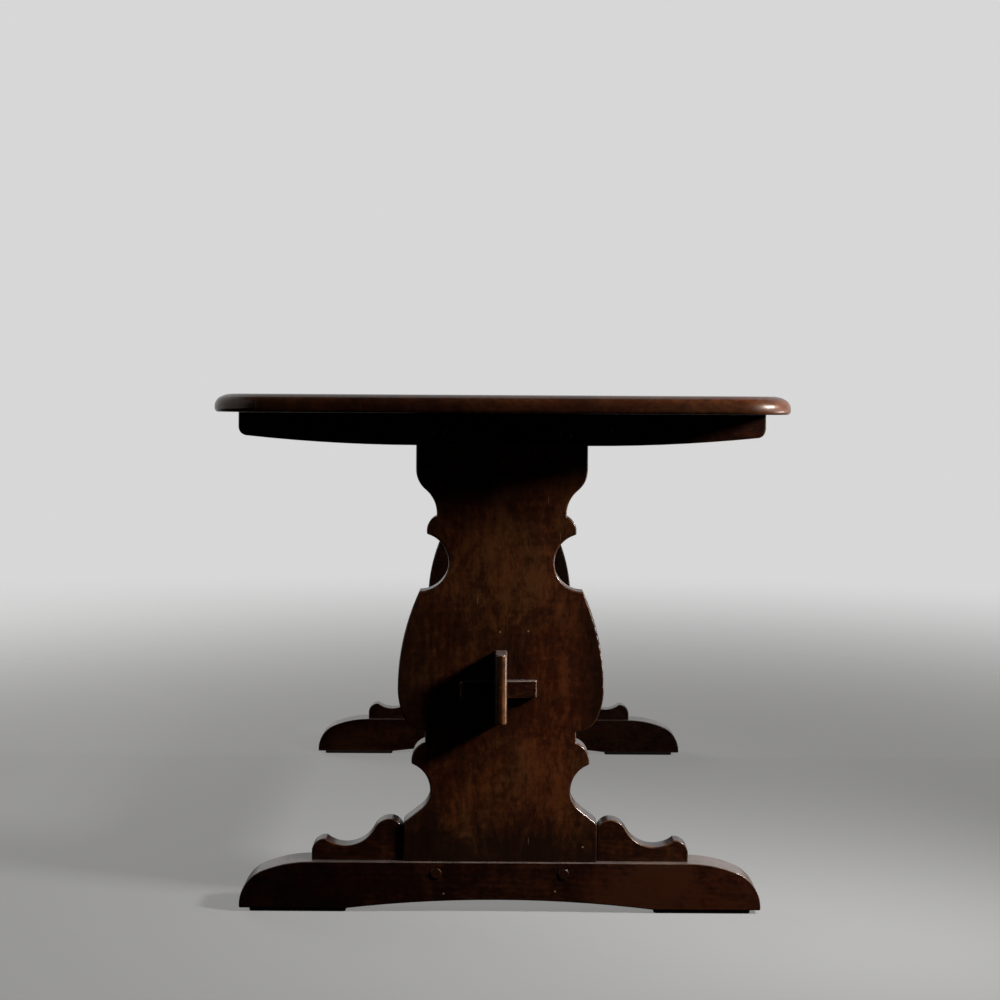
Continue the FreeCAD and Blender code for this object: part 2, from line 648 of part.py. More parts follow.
def trestle():
    """Every node of the near trestle, with its left and right pieces."""
    foot_pegs = [peg(side, FOOT_TOP - PEG_SETBACK, FOOT_THICKNESS) for side in (-1, 1)]
    bearer_pegs = [peg(side, BEARER_UNDERSIDE + PEG_SETBACK, BEARER_THICKNESS) for side in (-1, 1)]
    dowels = [bracket_dowel(side, run, 0) for side in (-1, 1) for run in dowel_runs()]
    screws = [screw_at(x, TRESTLE_Y, 0) for x in screw_places()]
    return {
        "bearer": bearer(),
        "panel": panel(),
        "foot": foot(),
        "left_bracket": bracket(-1),
        "right_bracket": bracket(1),
        "left_pad": pad(-1),
        "right_pad": pad(1),
        "wedge": wedge(),
        "foot_pegs": Part.makeCompound(foot_pegs),
        "bearer_pegs": Part.makeCompound(bearer_pegs),
        "bracket_dowels": Part.makeCompound(dowels),
        "top_screws": Part.makeCompound(screws),
    }


def all_nodes():
    nodes = {"stretcher": stretcher()}
    for number, board in enumerate(top_boards(), start=1):
        nodes[f"top_board_{number}"] = board
    nodes["top_tongues"] = Part.makeCompound([tongue_at(x, 0) for x in board_joints()])
    swapped = {"left": "right", "right": "left"}
    for name, shape in trestle().items():
        nodes[f"near_{name}"] = shape
        words = [swapped.get(word, word) for word in name.split("_")]
        nodes["far_" + "_".join(words)] = turned_round(shape)
    return nodes


os.makedirs("parts", exist_ok=True)
for node_name, node_shape in all_nodes().items():
    node_shape.exportStep(f"parts/{node_name}.step")
    state = "valid" if node_shape.isValid() else "NOT VALID"
    print(f"{node_name}: {len(node_shape.Solids)} solid(s), {node_shape.Volume / 1000:.1f} cm3, {state}")
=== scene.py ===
# %% [markdown]
# # Finishing a dark refectory table
# The joinery of this table is already drawn at full size: boards, trestles, wedges, pegs and screws. This
# lesson gives it its looks: stained wood with grain that follows each piece, worn edges with a painted
# highlight, felt and steel.
# The drawn pieces are loaded first and stay where they are, because everything else is fitted to them.

# %% The table as it was drawn
import math
import bmesh
import bpy
from mathutils import Euler, Matrix, Vector


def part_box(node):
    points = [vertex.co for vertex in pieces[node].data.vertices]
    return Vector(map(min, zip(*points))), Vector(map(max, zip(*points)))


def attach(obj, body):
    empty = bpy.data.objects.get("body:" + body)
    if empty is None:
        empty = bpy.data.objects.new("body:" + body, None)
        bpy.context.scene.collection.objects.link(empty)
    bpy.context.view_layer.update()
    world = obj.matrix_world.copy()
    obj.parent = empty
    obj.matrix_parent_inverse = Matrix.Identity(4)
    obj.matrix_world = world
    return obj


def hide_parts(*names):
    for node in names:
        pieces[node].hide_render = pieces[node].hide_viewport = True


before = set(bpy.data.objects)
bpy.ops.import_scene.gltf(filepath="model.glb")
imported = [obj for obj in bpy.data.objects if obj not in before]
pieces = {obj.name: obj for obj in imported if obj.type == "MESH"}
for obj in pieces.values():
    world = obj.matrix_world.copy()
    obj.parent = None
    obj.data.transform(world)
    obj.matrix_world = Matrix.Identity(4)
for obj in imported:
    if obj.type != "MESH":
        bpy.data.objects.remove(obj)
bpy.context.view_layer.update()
scene = bpy.context.scene
scene.view_settings.view_transform = "Standard"

# %% [markdown]
# ## The viewpoint
# The table is seen end on, from a camera as high as its top, so the top shows as a thin line.
# A level camera keeps uprights upright. Lens shift, not tilt, then puts the horizon above the middle.
# The horizon's row and the column where the long edges meet were read from the picture, and give the shift.

# %% A level camera in front of the near end
PICTURE_SIDE = 1000  # pixels
SENSOR_WIDTH = 36.0  # millimetres
FOCAL_PIXELS = 1758
HORIZON_ROW = 402.2
MEETING_COLUMN = 496.0
CAMERA_PLACE = (-0.0086, -2.897, 0.681)
CAMERA_ROLL = math.radians(-0.33)

camera_data = bpy.data.cameras.new("camera")
camera_data.sensor_width = SENSOR_WIDTH
camera_data.lens = FOCAL_PIXELS * SENSOR_WIDTH / PICTURE_SIDE
camera_data.shift_x = 0.5 - MEETING_COLUMN / PICTURE_SIDE
camera_data.shift_y = HORIZON_ROW / PICTURE_SIDE - 0.5
camera = bpy.data.objects.new("camera", camera_data)
camera.location = CAMERA_PLACE
camera.rotation_euler = (math.pi / 2, CAMERA_ROLL, 0)
scene.collection.objects.link(camera)
scene.camera = camera
print("lens", round(camera_data.lens, 1), "mm")
print("shift", round(camera_data.shift_x, 4), round(camera_data.shift_y, 4))

# %% [markdown]
# ## Building materials from nodes
# Every finish below is a small tree of nodes. A few helpers keep the recipes short: one adds a node and
# fills or links its sockets by name, one does a step of arithmetic, and the others mix values and
# colours.

# %% Helpers for node trees
def put(tree, kind, sockets=None, **settings):
    """Adds a node; a socket given as a value is set, and one given as another node's socket is linked."""
    node = tree.nodes.new("ShaderNode" + kind)
    for name, value in settings.items():
        setattr(node, name, value)
    for name, value in (sockets or {}).items():
        if isinstance(value, bpy.types.NodeSocket):
            tree.links.new(value, node.inputs[name])
        else:
            node.inputs[name].default_value = value
    return node


def work_out(tree, operation, first, second=0.0, third=0.0):
    """One step of arithmetic on numbers or sockets."""
    node = put(tree, "Math", {0: first, 1: second, 2: third}, operation=operation)
    return node.outputs[0]


def step_between(tree, value, start, end, low=0.0, high=1.0):
    """A soft step: low up to start, high from end on."""
    sockets = {"Value": value, "From Min": start, "From Max": end, "To Min": low, "To Max": high}
    return put(tree, "MapRange", sockets, interpolation_type="SMOOTHSTEP").outputs[0]


def mixed(tree, share, first, second, blend_type="MIX"):
    """Two colours mixed by a share."""
    node = put(tree, "Mix", data_type="RGBA", blend_type=blend_type)
    for socket, value in zip((node.inputs[0], node.inputs[6], node.inputs[7]), (share, first, second)):
        if isinstance(value, bpy.types.NodeSocket):
            tree.links.new(value, socket)
        else:
            socket.default_value = value
    return node.outputs[2]


def laid_over(tree, share, strength, colour, cover):
    """A colour with another one laid over it where share is high, at most as thick as strength."""
    return mixed(tree, work_out(tree, "MULTIPLY", share, strength), colour, cover)


print("helpers for values and colours ready")

# %% Helpers for whole materials
def seen_directly(tree):
    """1 for the camera's own view and for what shows in gloss or glass, 0 for light that only bounces."""
    path = put(tree, "LightPath").outputs
    seen = work_out(tree, "ADD", path["Is Camera Ray"], path["Is Glossy Ray"])
    return work_out(tree, "ADD", seen, path["Is Transmission Ray"])


def new_finish(name):
    """An empty material with a Principled shader; returns the material, its tree and the shader."""
    finish = bpy.data.materials.new(name)
    finish.use_nodes = True
    tree = finish.node_tree
    tree.nodes.clear()
    shader = put(tree, "BsdfPrincipled")
    put(tree, "OutputMaterial", {"Surface": shader.outputs[0]})
    return finish, tree, shader


print("helpers for materials ready")

# %% [markdown]
# ## A pale floor
# A dark table reads best on a plain pale floor. The floor is a wide disc that thins out to nothing
# towards its rim, so no horizon line crosses the picture: past the rim there is only the pale background.
# It looks pale to the camera and in reflections, with a glow of its own that keeps shadows light, but it
# throws little light back up, because bounced light would flatten the dark wood.

# %% Floor disc
FLOOR_RADIUS = 4.2
FLOOR_SIDES = 128

floor_mesh = bpy.data.meshes.new("floor")
disc = bmesh.new()
bmesh.ops.create_circle(disc, cap_ends=True, segments=FLOOR_SIDES, radius=FLOOR_RADIUS)
disc.to_mesh(floor_mesh)
disc.free()
floor = bpy.data.objects.new("floor", floor_mesh)
scene.collection.objects.link(floor)
print("floor of radius", FLOOR_RADIUS, "m")

# %% Floor finish
FLOOR_FADE_START = 0.9
FLOOR_CHANGE = 1.0  # how far left and right of the middle its colour changes
FLOOR_LEFT = (0.13, 0.129, 0.126, 1.0)  # as the camera and reflections see it, away from the window lamp
FLOOR_RIGHT = (0.105, 0.104, 0.102, 1.0)  # the same, near the window lamp
FLOOR_BOUNCE = (0.030, 0.029, 0.028, 1.0)  # as it throws light back up on the table
FLOOR_GLOW = 0.22  # what is seen of it even in full shadow
FLOOR_GLOW_COLOUR = (1.0, 0.99, 0.97, 1.0)

floor_finish, tree, shader = new_finish("pale_floor")
place = put(tree, "TexCoord").outputs["Object"]
sideways = put(tree, "SeparateXYZ", {0: place}).outputs[0]
across = step_between(tree, sideways, -FLOOR_CHANGE, FLOOR_CHANGE)
shown = mixed(tree, across, FLOOR_LEFT, FLOOR_RIGHT)
tree.links.new(mixed(tree, seen_directly(tree), FLOOR_BOUNCE, shown), shader.inputs["Base Color"])
shader.inputs["Emission Color"].default_value = FLOOR_GLOW_COLOUR
glow = work_out(tree, "MULTIPLY", seen_directly(tree), FLOOR_GLOW)
tree.links.new(glow, shader.inputs["Emission Strength"])
shader.inputs["Roughness"].default_value = 0.9
shader.inputs["Specular IOR Level"].default_value = 0.1
reach = put(tree, "VectorMath", {0: place}, operation="LENGTH").outputs["Value"]
thinned = step_between(tree, reach, FLOOR_FADE_START, FLOOR_RADIUS)
clear = put(tree, "BsdfTransparent").outputs[0]
blend = put(tree, "MixShader", {0: thinned, 1: shader.outputs[0], 2: clear})
surface = next(node for node in tree.nodes if node.type == "OUTPUT_MATERIAL").inputs["Surface"]
tree.links.new(blend.outputs[0], surface)
floor_mesh.materials.append(floor_finish)
print("floor thins out from", FLOOR_FADE_START, "m")

# %% [markdown]
# ## Light
# The background, too, is pale to the camera and in reflections and lights the table only weakly. Most of
# the light comes from a small lamp at the right, as from a window. It stands somewhat higher than the
# top, which therefore shades the upper part of the trestle. Its beam is limited, so that the light falls
# off to the left. A lamp above and one behind fill in softly. They are kept out of reflections, which
# would veil the dark wood. A low lamp at the right does the opposite: it shows only in reflections, and
# draws thin lights along edges.

# %% Background
BACKGROUND = 0.68  # as the camera and reflections see it
AMBIENT = 0.006  # as it lights the table

world = bpy.data.worlds.new("studio")
world.use_nodes = True
scene.world = world
tree = world.node_tree
tree.nodes.clear()
levels = {"Value": seen_directly(tree), "To Min": AMBIENT, "To Max": BACKGROUND}
strength = put(tree, "MapRange", levels).outputs[0]
sky = put(tree, "Background", {"Color": (1.0, 1.0, 1.0, 1.0), "Strength": strength})
put(tree, "OutputWorld", {"Surface": sky.outputs[0]})
print("background", BACKGROUND)

# %% Lamps
TABLE_MIDDLE = (0.0, 0.0, 0.4)
WINDOW_BEAM = math.radians(75)


def soft_lamp(name, place, aim, width, height, watts):
    """A rectangular lamp that faces the point it is aimed at and isn't seen by the camera."""
    data = bpy.data.lights.new(name, "AREA")
    data.shape = "RECTANGLE"
    data.size = width
    data.size_y = height
    data.energy = watts
    lamp = bpy.data.objects.new(name, data)
    lamp.location = place
    lamp.rotation_euler = (Vector(aim) - Vector(place)).to_track_quat("-Z", "Y").to_euler()
    lamp.visible_camera = False
    scene.collection.objects.link(lamp)
    return lamp


window_lamp = soft_lamp(
    "window_lamp", place=(1.15, -1.0, 0.97), aim=(0.2, -0.55, 0.13), width=0.22, height=0.18, watts=9.4
)
window_lamp.data.spread = WINDOW_BEAM
ceiling_lamp = soft_lamp(
    "ceiling_lamp", place=(0.0, 0.6, 3.6), aim=(0.0, 0.0, 0.0), width=3.2, height=3.2, watts=22
)
ceiling_lamp.visible_glossy = False
back_lamp = soft_lamp(
    "back_lamp", place=(-2.4, 2.6, 1.3), aim=TABLE_MIDDLE, width=2.4, height=1.6, watts=85
)
back_lamp.visible_glossy = False
edge_lamp = soft_lamp(
    "edge_lamp", place=(1.6, -0.32, 0.26), aim=(0.0, -0.58, 0.30), width=0.30, height=0.50, watts=13
)
edge_lamp.visible_diffuse = False
print(len(bpy.data.lights), "lamps")

# %% [markdown]
# ## Something dark to mirror
# A photographer keeps lacquer deep by giving it something dark to mirror: a cloth hung behind the camera.
# It starts as an upright sheet. Its lower edge is extruded along the floor to the far foot, and its upper
# edge forward overhead. Only reflections show it: neither the camera nor the bounced light does.

# %% Dark cloth behind the camera
CLOTH_PLACE = -4.2
CLOTH_HALF_WIDTH = 3.6
CLOTH_HEIGHT = 6.5
CLOTH_CANOPY = 7.5  # how far it runs forward overhead
CLOTH_GAP = 0.01  # how far before the far foot it ends
CLOTH_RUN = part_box("far_foot")[0].y - CLOTH_GAP - CLOTH_PLACE  # along the floor
CLOTH_LIFT = 0.003

cloth_mesh = bpy.data.meshes.new("dark_cloth")
sheet = bmesh.new()
hung = Matrix.Translation((0.0, CLOTH_PLACE, CLOTH_LIFT + CLOTH_HEIGHT / 2))
stood_up = hung @ Matrix.Rotation(math.pi / 2, 4, "X")
sheet_size = Matrix.Diagonal((CLOTH_HALF_WIDTH, CLOTH_HEIGHT / 2, 1.0, 1.0))
bmesh.ops.create_grid(sheet, x_segments=1, y_segments=1, size=1.0, matrix=stood_up @ sheet_size)
lower_edge = min(sheet.edges, key=lambda edge: sum(corner.co.z for corner in edge.verts))
upper_edge = max(sheet.edges, key=lambda edge: sum(corner.co.z for corner in edge.verts))
for edge, run in ((lower_edge, CLOTH_RUN), (upper_edge, CLOTH_CANOPY)):
    drawn_out = bmesh.ops.extrude_edge_only(sheet, edges=[edge])["geom"]
    corners = [item for item in drawn_out if isinstance(item, bmesh.types.BMVert)]
    bmesh.ops.translate(sheet, vec=(0.0, run, 0.0), verts=corners)
sheet.to_mesh(cloth_mesh)
sheet.free()
cloth = bpy.data.objects.new("dark_cloth", cloth_mesh)
cloth.visible_camera = False
cloth.visible_shadow = False
cloth.visible_diffuse = False
scene.collection.objects.link(cloth)
print("dark cloth of", len(cloth_mesh.polygons), "faces hung at y", CLOTH_PLACE)

# %% Cloth finish
CLOTH_BLACK = (0.004, 0.004, 0.004, 1.0)

cloth_finish, tree, shader = new_finish("dark_cloth")
shader.inputs["Base Color"].default_value = CLOTH_BLACK
shader.inputs["Roughness"].default_value = 1.0
shader.inputs["Specular IOR Level"].default_value = 0.0
cloth_mesh.materials.append(cloth_finish)
print("cloth is matt black")

# %% [markdown]
# ## Wood that remembers the tree
# A board is a slice of a trunk, so its figure comes from cutting through growth rings along the grain.
# A flat stripe texture would look printed on, and would not match round the corners.
# Here each piece carries the rings of its own imagined trunk: the Wave texture in rings about an axis along
# the grain, bent a little by noise. Faces, edges and ends then agree, as they do on sawn wood.

# %% Coordinates along the grain
GRAIN_TURNS = {
    "X": Euler((0.0, -math.pi / 2, 0.0)),
    "Y": Euler((math.pi / 2, 0.0, 0.0)),
    "Z": Euler((0.0, 0.0, 0.0)),
}
WANDER_WAVES = (7.0, 7.0, 1.6)  # per metre, two ways across the grain and along it
RING_MEASURE = 2 * math.pi / 20  # the scale at which the Wave texture's rings are one unit apart


def along_grain(tree, grain, pith):
    """Object coordinates turned so that the grain runs along Z, with the trunk's heart at the origin."""
    place = put(tree, "TexCoord").outputs["Object"]
    shifted = put(tree, "VectorMath", {0: place, 1: pith}, operation="SUBTRACT").outputs[0]
    turned = put(tree, "Mapping", {"Vector": shifted, "Rotation": GRAIN_TURNS[grain]})
    return turned.outputs[0]


def streaks(tree, trunk, across, along, detail=2.0, roughness=0.5, swirl=0.0):
    """Noise with so many waves per metre across and along the grain; returns its value, around a half."""
    stretched = put(tree, "VectorMath", {0: trunk, 1: (across, across, along)}, operation="MULTIPLY")
    sockets = {"Vector": stretched.outputs[0], "Scale": 1.0, "Detail": detail, "Roughness": roughness}
    return put(tree, "TexNoise", {**sockets, "Distortion": swirl}).outputs["Fac"]


def growth_rings(tree, trunk, spacing, wander):
    """0 to 1 through each year's ring. The trunk wanders sideways by up to the given distance."""
    stretched = put(tree, "VectorMath", {0: trunk, 1: WANDER_WAVES}, operation="MULTIPLY")
    drift = put(tree, "TexNoise", {"Vector": stretched.outputs[0], "Scale": 1.0, "Detail": 3.0})
    centred = put(tree, "VectorMath", {0: drift.outputs["Color"], 1: (0.5, 0.5, 0.5)}, operation="SUBTRACT")
    moved = put(tree, "VectorMath", {0: centred.outputs[0], "Scale": 2 * wander}, operation="SCALE")
    bent = put(tree, "VectorMath", {0: trunk, 1: moved.outputs[0]}, operation="ADD")
    sockets = {"Vector": bent.outputs[0], "Scale": RING_MEASURE / spacing, "Distortion": 1.2, "Detail": 2.0}
    settings = {"wave_type": "RINGS", "rings_direction": "Z", "wave_profile": "SIN"}
    return put(tree, "TexWave", sockets, **settings).outputs["Fac"]


def lean(tree, onto, value, weight):
    """Adds to a value how far another one is above or below a half, times a weight."""
    return work_out(tree, "MULTIPLY_ADD", work_out(tree, "SUBTRACT", value, 0.5), weight, onto)


print("grain helpers ready")

# %% [markdown]
# ## Stain
# The table is stained a dark red-brown. Stain takes unevenly: pores and end grain are darker, and broad
# patches differ. Several noises of different length, from broad patches to single fibres, add up to one
# tone, which a colour ramp turns into three browns. Some of them return later in the relief, so that both
# agree.

# %% Textures that colour and relief share
AXIS_NUMBER = {"X": 0, "Y": 1, "Z": 2}
TRUNK_WANDER = 0.03
STREAKS = {  # waves per metre across and along the grain, then detail, roughness and swirl
    "figure": (30.0, 17.0, 4.0, 0.62, 2.4),
    "patches": (9.0, 5.0, 2.0, 0.5, 0.8),
    "ripple": (22.0, 120.0, 2.0, 0.5, 0.4),
    "flecks": (210.0, 120.0, 3.0, 0.65),
    "fibres": (760.0, 26.0, 3.0, 0.6),
    "fine": (1500.0, 110.0, 1.0, 0.5),
    "hue": (14.0, 6.0, 3.0, 0.55, 1.0),
}


def wood_textures(tree, trunk, ring_spacing):
    """The textures of one piece of wood, by name."""
    textures = {name: streaks(tree, trunk, *values) for name, values in STREAKS.items()}
    textures["rings"] = growth_rings(tree, trunk, ring_spacing, TRUNK_WANDER)
    specks = step_between(tree, textures["fine"], 0.60, 0.70)
    early_wood = step_between(tree, textures["rings"], 0.9, 0.3, 0.3, 1.0)
    textures["pores"] = work_out(tree, "MULTIPLY", specks, early_wood)
    return textures


print(len(STREAKS), "noises ready")

# %% Colour of the stain
TONE_WEIGHTS = {"rings": 0.12, "figure": 1.1, "patches": 0.9, "ripple": 0.45, "flecks": 0.95, "fibres": 0.32}
DEEPEST_AT, LIGHTEST_AT = 0.05, 0.95
PORE_STRENGTH, END_STRENGTH = 0.7, 0.45
REDDER = (1.12, 0.84, 0.76, 1.0)
BROWNER = (0.96, 0.99, 0.98, 1.0)
PORE_BROWN = (0.0055, 0.0020, 0.0010, 1.0)
END_BROWN = (0.0120, 0.0040, 0.0018, 1.0)


def stain(tree, textures, tones, blotch, grain):
    """Three browns by tone, drifting in hue, darker in pores and on end grain; blotch weighs the patches."""
    tone = 0.5
    for name, weight in {**TONE_WEIGHTS, "patches": blotch}.items():
        tone = lean(tree, tone, textures[name], weight)
    ramp = put(tree, "ValToRGB", {"Fac": tone})
    browns = ramp.color_ramp.elements
    browns[0].color, browns[0].position = tones[0], DEEPEST_AT
    browns[1].color, browns[1].position = tones[2], LIGHTEST_AT
    browns.new(0.5).color = tones[1]
    hue = mixed(tree, step_between(tree, textures["hue"], 0.3, 0.7), REDDER, BROWNER)
    colour = mixed(tree, 1.0, ramp.outputs["Color"], hue, "MULTIPLY")
    colour = laid_over(tree, textures["pores"], PORE_STRENGTH, colour, PORE_BROWN)
    normal = put(tree, "SeparateXYZ", {0: put(tree, "TexCoord").outputs["Normal"]}).outputs
    end_grain = step_between(tree, work_out(tree, "ABSOLUTE", normal[AXIS_NUMBER[grain]]), 0.72, 0.96)
    return laid_over(tree, end_grain, END_STRENGTH, colour, END_BROWN)


print("stain ready")

# %% [markdown]
# ## Wear, painted light and lacquer
# Years of use have rubbed edges back to a lighter brown and left dust on ledges and small chips and
# scratches.
# The lighter edges and ledges are partly painted highlight too, and a darker band low down is painted shade.
# Each kind of mark is a mask of its own, worked out from the piece's normal or from the place on it. The
# lacquer over it all has a low gloss. It is a thin coat on the shader, a little duller in pores.

# %% Masks for marks of use and for painted light
def rubbed_and_highlit_edges(tree, face_axis, breakup):
    """Eased edges of a board, lighter by wear and painted highlight: the normal is between the face's and
    edge's.
    """
    normal = put(tree, "TexCoord").outputs["Normal"]
    parts = put(tree, "SeparateXYZ", {0: normal}).outputs
    tilt = work_out(tree, "ABSOLUTE", parts[face_axis])
    rising = step_between(tree, tilt, 0.08, 0.4)
    falling = step_between(tree, tilt, 0.8, 0.99, 1.0, 0.0)
    worn = step_between(tree, breakup, 0.36, 0.62)
    return work_out(tree, "MULTIPLY", work_out(tree, "MULTIPLY", rising, falling), worn)


def dust_and_highlight_on_ledges(tree, start, breakup):
    """Where a piece faces upwards: dust and wax stay there, with a painted highlight of light from above."""
    normal = put(tree, "TexCoord").outputs["Normal"]
    rise = put(tree, "SeparateXYZ", {0: normal}).outputs[2]
    facing_up = step_between(tree, rise, start, start + 0.25)
    uneven = step_between(tree, breakup, 0.25, 0.6, 0.55, 1.0)
    return work_out(tree, "MULTIPLY", facing_up, uneven)


def painted_foot_shade(tree, place, textures, heights):
    """Painted shade low down, where the panel meets the foot: it fades out between two heights, with an
    uneven border.
    """
    height = put(tree, "SeparateXYZ", {0: place}).outputs[2]
    height = lean(tree, height, textures["patches"], 0.16)
    height = lean(tree, height, textures["figure"], 0.10)
    return step_between(tree, height, heights[0], heights[1], 1.0, 0.0)


def shaded_sides(tree, place, textures, distances):
    """Where it gets darker towards the sides: it grows between two distances from the middle."""
    aside = work_out(tree, "ABSOLUTE", put(tree, "SeparateXYZ", {0: place}).outputs[0])
    aside = lean(tree, aside, textures["patches"], 0.05)
    return step_between(tree, aside, distances[0], distances[1])


print("masks ready")

# %% Chips and scratches
CHIP_SIZE = 0.0016
CHIPS_PER_METRE = 27.0
CHIP_SHARE = 0.05
SCRATCH_SIZE = 0.0014
SCRATCHES_PER_METRE = 14.0
SCRATCH_SHARE = 0.12
SCRATCH_STRETCH = (4.0, 0.2, 1.0)
SCRATCH_TURN = 0.25


def on_face(tree, place, face_axis):
    """The two coordinates that lie in the faces of a board, whose face normal is along the given axis."""
    parts = put(tree, "SeparateXYZ", {0: place}).outputs
    across, up = [axis for axis in range(3) if axis != face_axis]
    return put(tree, "CombineXYZ", {0: parts[across], 1: parts[up]}).outputs[0]


def sparse_marks(tree, face_place, per_metre, size, share, stretch=(1.0, 1.0, 1.0), turn=0.0):
    """Sparse small marks on a face: the middles of a few of the cells of a Voronoi pattern."""
    laid = put(tree, "Mapping", {"Vector": face_place, "Scale": stretch, "Rotation": (0.0, 0.0, turn)})
    sockets = {"Vector": laid.outputs[0], "Scale": per_metre}
    cells = put(tree, "TexVoronoi", sockets, voronoi_dimensions="2D")
    spot = step_between(tree, cells.outputs["Distance"], size * per_metre * 0.4, size * per_metre, 1.0, 0.0)
    draw = put(tree, "SeparateColor", {0: cells.outputs["Color"]}).outputs[0]
    chosen = work_out(tree, "GREATER_THAN", draw, 1.0 - share)
    return work_out(tree, "MULTIPLY", spot, chosen)


def chips_and_scratches(tree, place, face_axis):
    """Round chips and slanting scratches in one mask."""
    face_place = on_face(tree, place, face_axis)
    chips = sparse_marks(tree, face_place, CHIPS_PER_METRE, CHIP_SIZE, CHIP_SHARE)
    scratches = sparse_marks(
        tree, face_place, SCRATCHES_PER_METRE, SCRATCH_SIZE, SCRATCH_SHARE, SCRATCH_STRETCH, SCRATCH_TURN
    )
    return work_out(tree, "MAXIMUM", chips, scratches)


print("chips and scratches ready")

# %% Lacquer and relief
AMBER_LACQUER = (1.0, 0.76, 0.54, 1.0)
SMEAR_WAVES = 9.0


def lacquer(tree, shader, place, gloss, sheen, pores, rubbed_and_highlit):
    """A low gloss that is smeared a little, duller in pores and smoother on edges that hands have worn."""
    smear = streaks(tree, place, SMEAR_WAVES, SMEAR_WAVES, 4.0, 0.6)
    rough = step_between(tree, smear, 0.3, 0.7, gloss - 0.03, gloss + 0.04)
    rough = work_out(tree, "MULTIPLY_ADD", pores, 0.18, rough)
    rough = work_out(tree, "MULTIPLY_ADD", rubbed_and_highlit, -0.14, rough)
    tree.links.new(rough, shader.inputs["Roughness"])
    shader.inputs["Specular IOR Level"].default_value = 0.16
    shader.inputs["Specular Tint"].default_value = AMBER_LACQUER
    shader.inputs["Coat Weight"].default_value = 0.34
    shader.inputs["Coat Roughness"].default_value = sheen


def wood_relief(tree, shader, textures, marks):
    """Fibres and flecks stand up a little; pores, chips and scratches are sunk."""
    relief = lean(tree, 0.5, textures["fibres"], 0.8)
    relief = lean(tree, relief, textures["flecks"], 0.8)
    relief = work_out(tree, "MULTIPLY_ADD", textures["pores"], -0.6, relief)
    relief = work_out(tree, "MULTIPLY_ADD", marks, -0.5, relief)
    bump = put(tree, "Bump", {"Strength": 0.30, "Distance": 0.0006, "Height": relief})
    tree.links.new(bump.outputs[0], shader.inputs["Normal"])


print("lacquer ready")

# %% The stained wood as a whole
# the lighter brown of worn edges, partly a painted highlight
RUBBED_AND_HIGHLIT_BROWN = (0.100, 0.040, 0.015, 1.0)
CHIPPED_WOOD = (0.270, 0.150, 0.080, 1.0)
# pale dust on upward faces, partly a painted highlight
LEDGE_DUST_AND_HIGHLIGHT = (0.150, 0.122, 0.108, 1.0)
LEDGE_RISE = 0.35
BREAKUP_WAVES = 34.0
# strengths of the painted shade low down, of the darker sides and of chips and scratches
FOOT_SHADE_STRENGTH, SIDES_STRENGTH, MARKS_STRENGTH = 0.85, 0.6, 0.6


def stained_wood(name, grain, face, pith, tones, ring_spacing=0.008, wear_and_highlight=0.55, gloss=0.34, **extras):
    """Dark stained, lacquered wood.

    grain is the axis along the grain, face the one that the broad faces look along, and pith a point of the
    trunk's heart. tones are three browns, from the deepest to the lightest. The wear share lightens eased
    edges, by wear and by painted highlight. Extras are blotch (how uneven the stain is), the share of dust
    and painted highlight on ledges, two heights of painted shade low down, two distances from the middle
    towards which it gets darker, and sheen (the roughness of the lacquer).
    """
    finish, tree, shader = new_finish(name)
    face_axis = AXIS_NUMBER[face]
    place = put(tree, "TexCoord").outputs["Object"]
    textures = wood_textures(tree, along_grain(tree, grain, pith), ring_spacing)
    colour = stain(tree, textures, tones, extras.get("blotch", TONE_WEIGHTS["patches"]), grain)
    breakup = streaks(tree, place, BREAKUP_WAVES, BREAKUP_WAVES, 4.0, 0.65)
    # edges lightened by wear and by a painted highlight
    rubbed_and_highlit = work_out(tree, "MULTIPLY", rubbed_and_highlit_edges(tree, face_axis, breakup), wear_and_highlight)
    colour = mixed(tree, rubbed_and_highlit, colour, RUBBED_AND_HIGHLIT_BROWN)
    # dust on upward faces, and a painted highlight there
    if "dust_and_highlight" in extras:
        ledge_dust_and_highlight = dust_and_highlight_on_ledges(tree, LEDGE_RISE, breakup)
        colour = laid_over(tree, ledge_dust_and_highlight, extras["dust_and_highlight"], colour, LEDGE_DUST_AND_HIGHLIGHT)
    # painted shade low down, where the panel meets the foot
    if "foot_shade" in extras:
        low_shade = painted_foot_shade(tree, place, textures, extras["foot_shade"])
        colour = laid_over(tree, low_shade, FOOT_SHADE_STRENGTH, colour, PORE_BROWN)
    if "sides" in extras:
        deeper = shaded_sides(tree, place, textures, extras["sides"])
        colour = laid_over(tree, deeper, SIDES_STRENGTH, colour, PORE_BROWN)
    marks = chips_and_scratches(tree, place, face_axis)
    colour = laid_over(tree, marks, MARKS_STRENGTH, colour, CHIPPED_WOOD)
    tree.links.new(colour, shader.inputs["Base Color"])
    lacquer(tree, shader, place, gloss, extras.get("sheen", 0.18), textures["pores"], rubbed_and_highlit)
    wood_relief(tree, shader, textures, marks)
    return finish


def give(node_name, finish):
    """Puts a finish on a drawn piece by its material slots; its mesh is left alone."""
    for slot in pieces[node_name].material_slots:
        slot.material = finish


print("wood recipe ready")

# %% [markdown]
# ## Panels
# The pieces were sawn from different boards and took the stain differently: the top is the lightest, then
# come the panels, and the feet, bearers and brackets are the darkest. Grain runs the long way of every
# piece. A panel is an upright board with a scrolled outline. Its stain is blotchy, it gets darker towards the
# sides, and painted shade darkens it low down, at its foot. A painted picture could show that, but soft
# masks by place follow any outline. The trunk's heart lies outside the board. How far along the trunk it
# was sawn only decides which part of the figure it shows.

